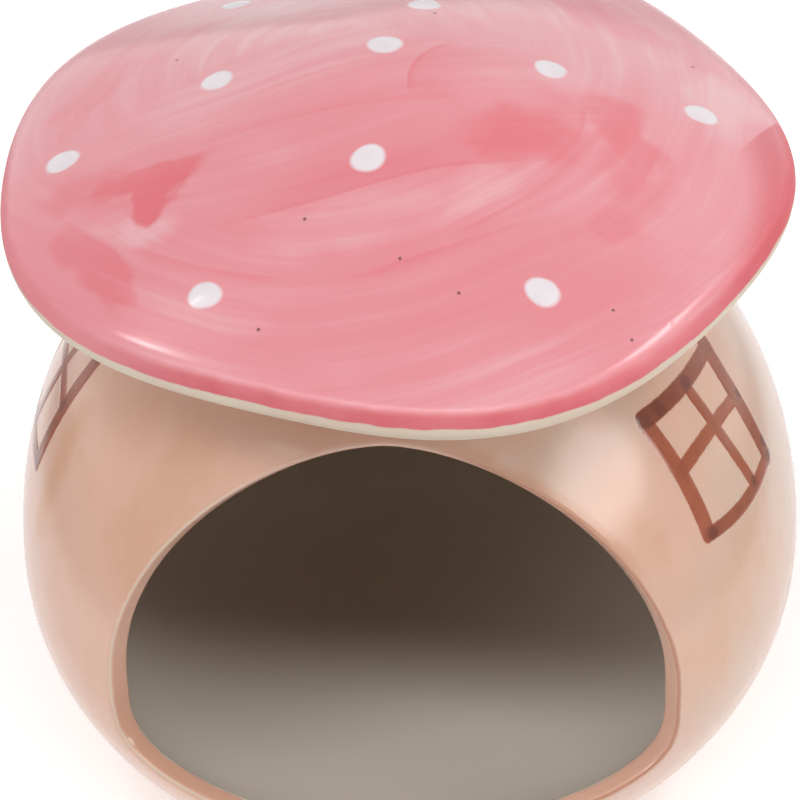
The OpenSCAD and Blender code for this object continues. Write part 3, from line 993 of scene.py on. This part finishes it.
def cap_material(c):
    """Brushed pink that gathers to red along the rim and ends over bare ivory, with pinholes. At the right
    lobe the red is partly painted shade for the dark reflection on the steep rim.
    """
    made, n, shader = material("cap_glaze")
    where = n.where()
    wander = n.math("MULTIPLY_ADD", n.noise(where, 170.0, 3.0), 0.001, -0.0005)
    edge = n.math("ADD", n.mark("past_rim"), wander)
    uneven = n.step(n.noise(where, 60.0, 3.0), 0.25, 0.65, 0.6, 0.95)
    uneven = n.times(uneven, n.step(n.parts(where)["X"], -0.05, -0.02, 0.35, 1.0))
    pink = pink_colour(n, c)
    # painted shade: the red at the right lobe also stands for the rim's dark reflection
    rim_red_and_shade = n.most(n.times(n.step(edge, -0.0034, -0.0018), uneven), pink["Gathered_and_shade"])
    shade = n.mix(rim_red_and_shade, pink["Color"], tuple(c.rim_red))
    slip = n.mix(n.step(n.noise(where, 90.0, 3.0), 0.35, 0.7, 0.0, 0.35), tuple(c.ivory), tuple(c.tan))
    shade = n.mix(n.step(edge, -0.0005, -0.0002), shade, slip)
    flaws = place_group(n, group("Cap flaws", {}, {"Hole": VALUE, "Height": VALUE}, cap_flaws))
    # painted shade: the pinholes are darkened to the pit colour
    dark = n.mix(n.times(flaws["Hole"], 0.8), shade, tuple(c.pit_shade))
    n.put(shader.inputs["Base Color"], dark)
    glazed(n, shader, 0.3, n.step(edge, -0.0042, -0.0016, 0.12, 0.5), flaws["Height"])
    return made


def wall_material(c):
    """Tan wash outside, a painted lip, cream glaze inside that turns umber up the walls as painted shade. The
    paint covers the lip's flat; on the left its outer corner is worn pale, on the right a brown line runs
    along it and smears past it."""
    made, n, shader = material("wall_glaze")
    where = n.where()
    at, inside = n.mark("lip_at"), n.mark("inside")
    uneven = n.math("MULTIPLY_ADD", n.noise(where, 180.0, 4.0, 0.6), 0.002, -0.001)
    side = n.parts(where)
    right = n.step(side["X"], 0.004, 0.016)
    upper = n.times(n.step(side["Z"], 0.052, 0.064), n.step(side["Z"], 0.082, 0.074))
    beside = n.step(n.math("ADD", at, uneven), -0.0026, -0.0006)
    smear = n.times(n.times(right, upper), beside)
    patchy = n.step(n.noise(where, 55.0, 3.0), 0.3, 0.7)
    low = n.step(side["Z"], 0.075, 0.02, 0.25, 1.0)
    painted = n.times(low, n.math("MULTIPLY_ADD", patchy, 0.3, 0.15))
    painted = n.times(painted, n.math("MULTIPLY_ADD", right, -0.45, 1.0))
    flat = n.mix(painted, tuple(c.peach), tuple(c.terracotta))
    shade = n.mix(n.times(smear, 0.5), wash_colour(n, c), tuple(c.terracotta))
    on_lip = n.step(n.math("MULTIPLY_ADD", uneven, 0.25, at), -0.0002, 0.0002)
    shade = n.mix(on_lip, shade, flat)
    line = n.math("ABSOLUTE", n.math("MULTIPLY_ADD", uneven, 0.3, at))
    brown = n.times(n.step(line, 0.00045, 0.0001), n.times(right, 0.65))
    worn = n.times(n.step(line, 0.00038, 0.0001), n.step(side["X"], -0.010, -0.025, 0.15, 0.6))
    shade = n.mix(worn, shade, tuple(c.ivory))
    shade = n.mix(brown, shade, tuple(c.amber_line))
    # painted shade: the inside goes from cream on the floor to umber up the walls, for the dim light inside
    thin = n.math("MULTIPLY_ADD", n.noise(where, 26.0, 2.0), 0.016, side["Z"])
    cream = n.mix(n.step(thin, 0.016, 0.052), tuple(c.cream), tuple(c.inside_shade))
    limit = n.step(n.math("MULTIPLY_ADD", uneven, 500.0, inside), 0.35, 0.65)
    n.put(shader.inputs["Base Color"], n.mix(limit, shade, cream))
    glazed(n, shader, 0.3, 0.14)
    return made


def foot_material(c):
    """Bare clay of the foot ring and the hollow inside it, dry and fine grained."""
    made, n, shader = material("foot_clay")
    where = n.where()
    grit = n.step(n.noise(where, 900.0, 4.0, 0.7), 0.35, 0.7, 0.0, 0.35)
    edge = n.math("MULTIPLY_ADD", n.noise(where, 150.0, 3.0), 0.0008, n.mark("past_foot"))
    bare = n.step(edge, 0.0008, 0.0012)
    clay = n.mix(grit, tuple(c.clay), tuple(c.grit))
    n.put(shader.inputs["Base Color"], n.mix(bare, wash_colour(n, c), clay))
    n.put(shader.inputs["Roughness"], n.step(bare, 0.0, 1.0, 0.15, 0.75))
    fine = n.noise(where, 1500.0, 3.0)
    grain = n.add("ShaderNodeBump", {"Strength": 0.4, "Distance": 0.0001, "Height": fine})
    n.put(shader.inputs["Normal"], grain.outputs["Normal"])
    return made


def dot_material(c):
    """White paint that thins to the pink at its edge."""
    made, n, shader = material("dot_paint")
    where = n.where()
    uneven = n.math("MULTIPLY_ADD", n.noise(where, 500.0, 2.0), 0.08, -0.04)
    thin = n.step(n.math("ADD", n.mark("spread"), uneven), 0.84, 1.16)
    patchy = n.step(n.noise(where, 320.0, 2.0), 0.3, 0.75, 0.0, 0.5)
    white = n.mix(patchy, tuple(c.dot_white), tuple(c.dot_shade))
    n.put(shader.inputs["Base Color"], n.mix(thin, white, pink_colour(n, c)["Color"]))
    glazed(n, shader, 0.2, 0.2)
    return made


def bar_material(c):
    """Brown brush strokes, darker where paint pooled and thin at their edges."""
    made, n, shader = material("window_paint")
    where = n.where()
    uneven = n.math("MULTIPLY_ADD", n.noise(where, 900.0, 3.0, 0.6), 0.14, -0.07)
    cover = n.step(n.math("ADD", n.mark("cover"), uneven), -0.03, 0.07)
    thick = n.math("MULTIPLY_ADD", n.noise(where, 330.0, 4.0, 0.65), 0.9, -0.45)
    load = n.math("ADD", n.mark("load"), thick, clamp=True)
    brown = n.mix(load, tuple(c.bar_brown), tuple(c.bar_dark))
    n.put(shader.inputs["Base Color"], n.mix(n.times(cover, 0.96), wash_colour(n, c), brown))
    glazed(n, shader, 0.2, 0.14)
    return made


class HIDEOUT_OT_shell(bpy.types.Operator):
    """Build the cast body and cap as one closed skin"""
    bl_idname = "hideout.shell"
    bl_label = "Shell"

    def execute(self, context):
        s, c = Shape(context.scene), context.scene.hideout_colours
        place("hideout_shell", shell_mesh(s), [cap_material(c), wall_material(c), foot_material(c)])
        return {"FINISHED"}


class HIDEOUT_OT_dots(bpy.types.Operator):
    """Build the raised dots on the cap"""
    bl_idname = "hideout.dots"
    bl_label = "Dots"

    def execute(self, context):
        s = Shape(context.scene)
        place("cap_dots", dots_mesh(s), [dot_material(context.scene.hideout_colours)])
        return {"FINISHED"}


class HIDEOUT_OT_windows(bpy.types.Operator):
    """Build the painted window bars on both sides"""
    bl_idname = "hideout.windows"
    bl_label = "Windows"

    def execute(self, context):
        s, paint = Shape(context.scene), bar_material(context.scene.hideout_colours)
        for name, at, strokes, blots in (
            ("window_right", s.paint.right_at, RIGHT_STROKES, RIGHT_BLOTS),
            ("window_left", s.paint.left_at, LEFT_STROKES, LEFT_BLOTS),
        ):
            place(name, window_mesh(s, name, at, strokes, blots), [paint])
        return {"FINISHED"}


# Softboxes: name, angle from the mouth, elevation, distance, width, height, turn and brightness of the cloth
LAMPS = [
    ("front_box", -6, 57, 2.0, 3.2, 0.44, 0, 8.6),
    ("left_box", -87, 63, 0.9, 0.14, 0.18, -18, 12.0),
    ("right_box", 101, 51, 0.9, 0.52, 0.15, -10, 10.0),
    ("cheek_box", 70, 24, 0.9, 0.64, 0.62, 0, 5.4),
]


def aim(at, elevation, distance, target):
    """Place at an angle round the axis and an elevation, and a turn that looks at the target."""
    level = math.cos(elevation)
    back = Vector((math.sin(at) * level, -math.cos(at) * level, math.sin(elevation)))
    return Vector(target) + back * distance, (-back).to_track_quat("-Z", "Y")


class HIDEOUT_OT_studio(bpy.types.Operator):
    """Build the floor, the lamps, the surround and the camera"""
    bl_idname = "hideout.studio"
    bl_label = "Studio"

    def execute(self, context):
        scene, st = context.scene, context.scene.hideout_studio
        target = (0.0, 0.0, scene.hideout_body.belly)
        self.floor(st)
        for name, at, up, far, wide, tall, turn, bright in LAMPS:
            stand = math.radians(at), math.radians(up), far, target
            self.lamp(name, stand, (wide, tall), math.radians(turn), bright)
        self.surround(scene, st)
        self.camera(scene, st, target)
        scene.view_settings.view_transform = "Standard"
        return {"FINISHED"}

    def floor(self, st):
        """White paper on a table. The glaze mirrors the strip of paper before and behind the hideout as white,
        and what lies on both sides of the strip as dim."""
        side = st.floor_size / 2
        mesh = bpy.data.meshes.new("floor")
        corners = [(-side, -side, 0), (side, -side, 0), (side, side, 0), (-side, side, 0)]
        mesh.from_pydata(corners, [], [(0, 1, 2, 3)])
        made, n, shader = material("floor_paper")
        rays = n.add("ShaderNodeLightPath").outputs
        spot = n.parts(n.where())
        paper = n.step(n.math("ABSOLUTE", spot["X"]), st.paper * 1.15, st.paper * 0.85)
        paper = n.most(paper, n.step(spot["Y"], 0.12, 0.25))
        mirrored = n.times(rays["Is Glossy Ray"], paper)
        beside = n.math("SUBTRACT", rays["Is Glossy Ray"], mirrored)
        n.put(shader.inputs["Base Color"], n.mix(beside, tuple(st.floor_colour), (st.mirrored,) * 3))
        shader.inputs["Emission Color"].default_value = (1, 1, 1, 1)
        seen = n.most(rays["Is Camera Ray"], mirrored)
        n.put(shader.inputs["Emission Strength"], n.times(seen, st.floor_lift))
        shader.inputs["Roughness"].default_value = 0.9
        shader.inputs["Specular IOR Level"].default_value = 0.1
        mesh.materials.append(made)
        floor = bpy.data.objects.new("floor", mesh)
        bpy.context.scene.collection.objects.link(floor)

    def lamp(self, name, stand, size, turn, bright):
        """An area lamp whose cloth is brightest in the middle and fades out before its edge."""
        light = bpy.data.lights.new(name, "AREA")
        light.shape = "RECTANGLE"
        light.size, light.size_y = size
        light.energy = bright * math.pi * size[0] * size[1]
        light.use_nodes = True
        n = Nodes(light.node_tree)
        spot = n.vector("SUBTRACT", n.add("ShaderNodeTexCoord").outputs["UV"], (0.5, 0.5, 0.0))
        cloth = n.step(n.vector("LENGTH", spot), 0.5, 0.25)
        n.put(light.node_tree.nodes["Emission"].inputs["Strength"], cloth)
        box = bpy.data.objects.new(name, light)
        box.rotation_mode = "QUATERNION"
        box.location, look = aim(*stand)
        box.rotation_quaternion = look @ Quaternion((0, 0, 1), turn)
        bpy.context.scene.collection.objects.link(box)

    def surround(self, scene, st):
        """A light low on the left, less from all round and hardly any from low before the mouth, where the
        camera stands. Camera rays see white, and mirror rays white behind and the dim room elsewhere."""
        world = bpy.data.worlds.new("surround")
        world.use_nodes = True
        scene.world = world
        n = Nodes(world.node_tree)
        background = world.node_tree.nodes["Background"]
        way = n.add("ShaderNodeTexCoord").outputs["Generated"]

        def lobe(centre, outer, inner):
            return n.step(n.vector("LENGTH", n.vector("SUBTRACT", way, centre)), outer, inner)

        lit = n.math("MULTIPLY_ADD", lobe((0.0, -0.97, 0.24), 0.9, 0.45), -0.85 * st.world, st.world)
        lit = n.math("MULTIPLY_ADD", lobe((-0.85, -0.40, 0.34), 0.75, 0.3), st.left, lit)
        rays = n.add("ShaderNodeLightPath").outputs
        mirror = n.step(n.parts(way)["Y"], 0.15, 0.8, st.mirrored, st.behind)
        lit = n.math("MULTIPLY_ADD", n.math("SUBTRACT", mirror, lit), rays["Is Glossy Ray"], lit)
        white = n.math("MULTIPLY_ADD", n.math("SUBTRACT", 1.0, lit), rays["Is Camera Ray"], lit)
        n.put(background.inputs["Strength"], white)
        background.inputs["Color"].default_value = (1, 1, 1, 1)

    def camera(self, scene, st, target):
        """A long lens, turned so that the belly's middle falls on its pixel."""
        data = bpy.data.cameras.new("camera")
        data.sensor_width = 36.0
        data.lens = st.focal_px / PICTURE * data.sensor_width
        data.clip_start, data.clip_end = 0.05, 20.0
        camera = bpy.data.objects.new("camera", data)
        place_at, look = aim(st.azimuth, st.elevation, st.distance, target)
        shown = Vector((st.aim_x - PICTURE / 2, PICTURE / 2 - st.aim_y, -st.focal_px)).normalized()
        tilt = shown.rotation_difference(Vector((0, 0, -1))).to_matrix()
        turn = look.to_matrix() @ Matrix.Rotation(st.roll, 3, "Z") @ tilt
        camera.rotation_mode = "QUATERNION"
        camera.location, camera.rotation_quaternion = place_at, turn.to_quaternion()
        scene.collection.objects.link(camera)
        scene.camera = camera


class HIDEOUT_PT_panel(bpy.types.Panel):
    """The hideout's sizes, colours and steps"""
    bl_label = "Hideout"
    bl_idname = "HIDEOUT_PT_panel"
    bl_space_type = "VIEW_3D"
    bl_region_type = "UI"
    bl_category = "Hideout"

    def draw(self, context):
        layout = self.layout
        for operator in OPERATORS:
            layout.operator(operator.bl_idname)
        for name in SETTINGS:
            box = layout.box()
            box.label(text=name.removeprefix("hideout_").capitalize())
            for key in getattr(context.scene, name).bl_rna.properties.keys():
                if key not in ("rna_type", "name"):
                    box.prop(getattr(context.scene, name), key)


OPERATORS = (HIDEOUT_OT_shell, HIDEOUT_OT_dots, HIDEOUT_OT_windows, HIDEOUT_OT_studio)


def register():
    for kind in (*SETTINGS.values(), *OPERATORS, HIDEOUT_PT_panel):
        bpy.utils.register_class(kind)
    for name, kind in SETTINGS.items():
        setattr(bpy.types.Scene, name, PointerProperty(type=kind))


def unregister():
    for name in SETTINGS:
        delattr(bpy.types.Scene, name)
    for kind in (HIDEOUT_PT_panel, *reversed(OPERATORS), *reversed(SETTINGS.values())):
        bpy.utils.unregister_class(kind)


def main():
    register()
    bpy.ops.hideout.shell()
    bpy.ops.hideout.dots()
    bpy.ops.hideout.windows()
    bpy.ops.hideout.studio()


if __name__ == "__main__":
    main()
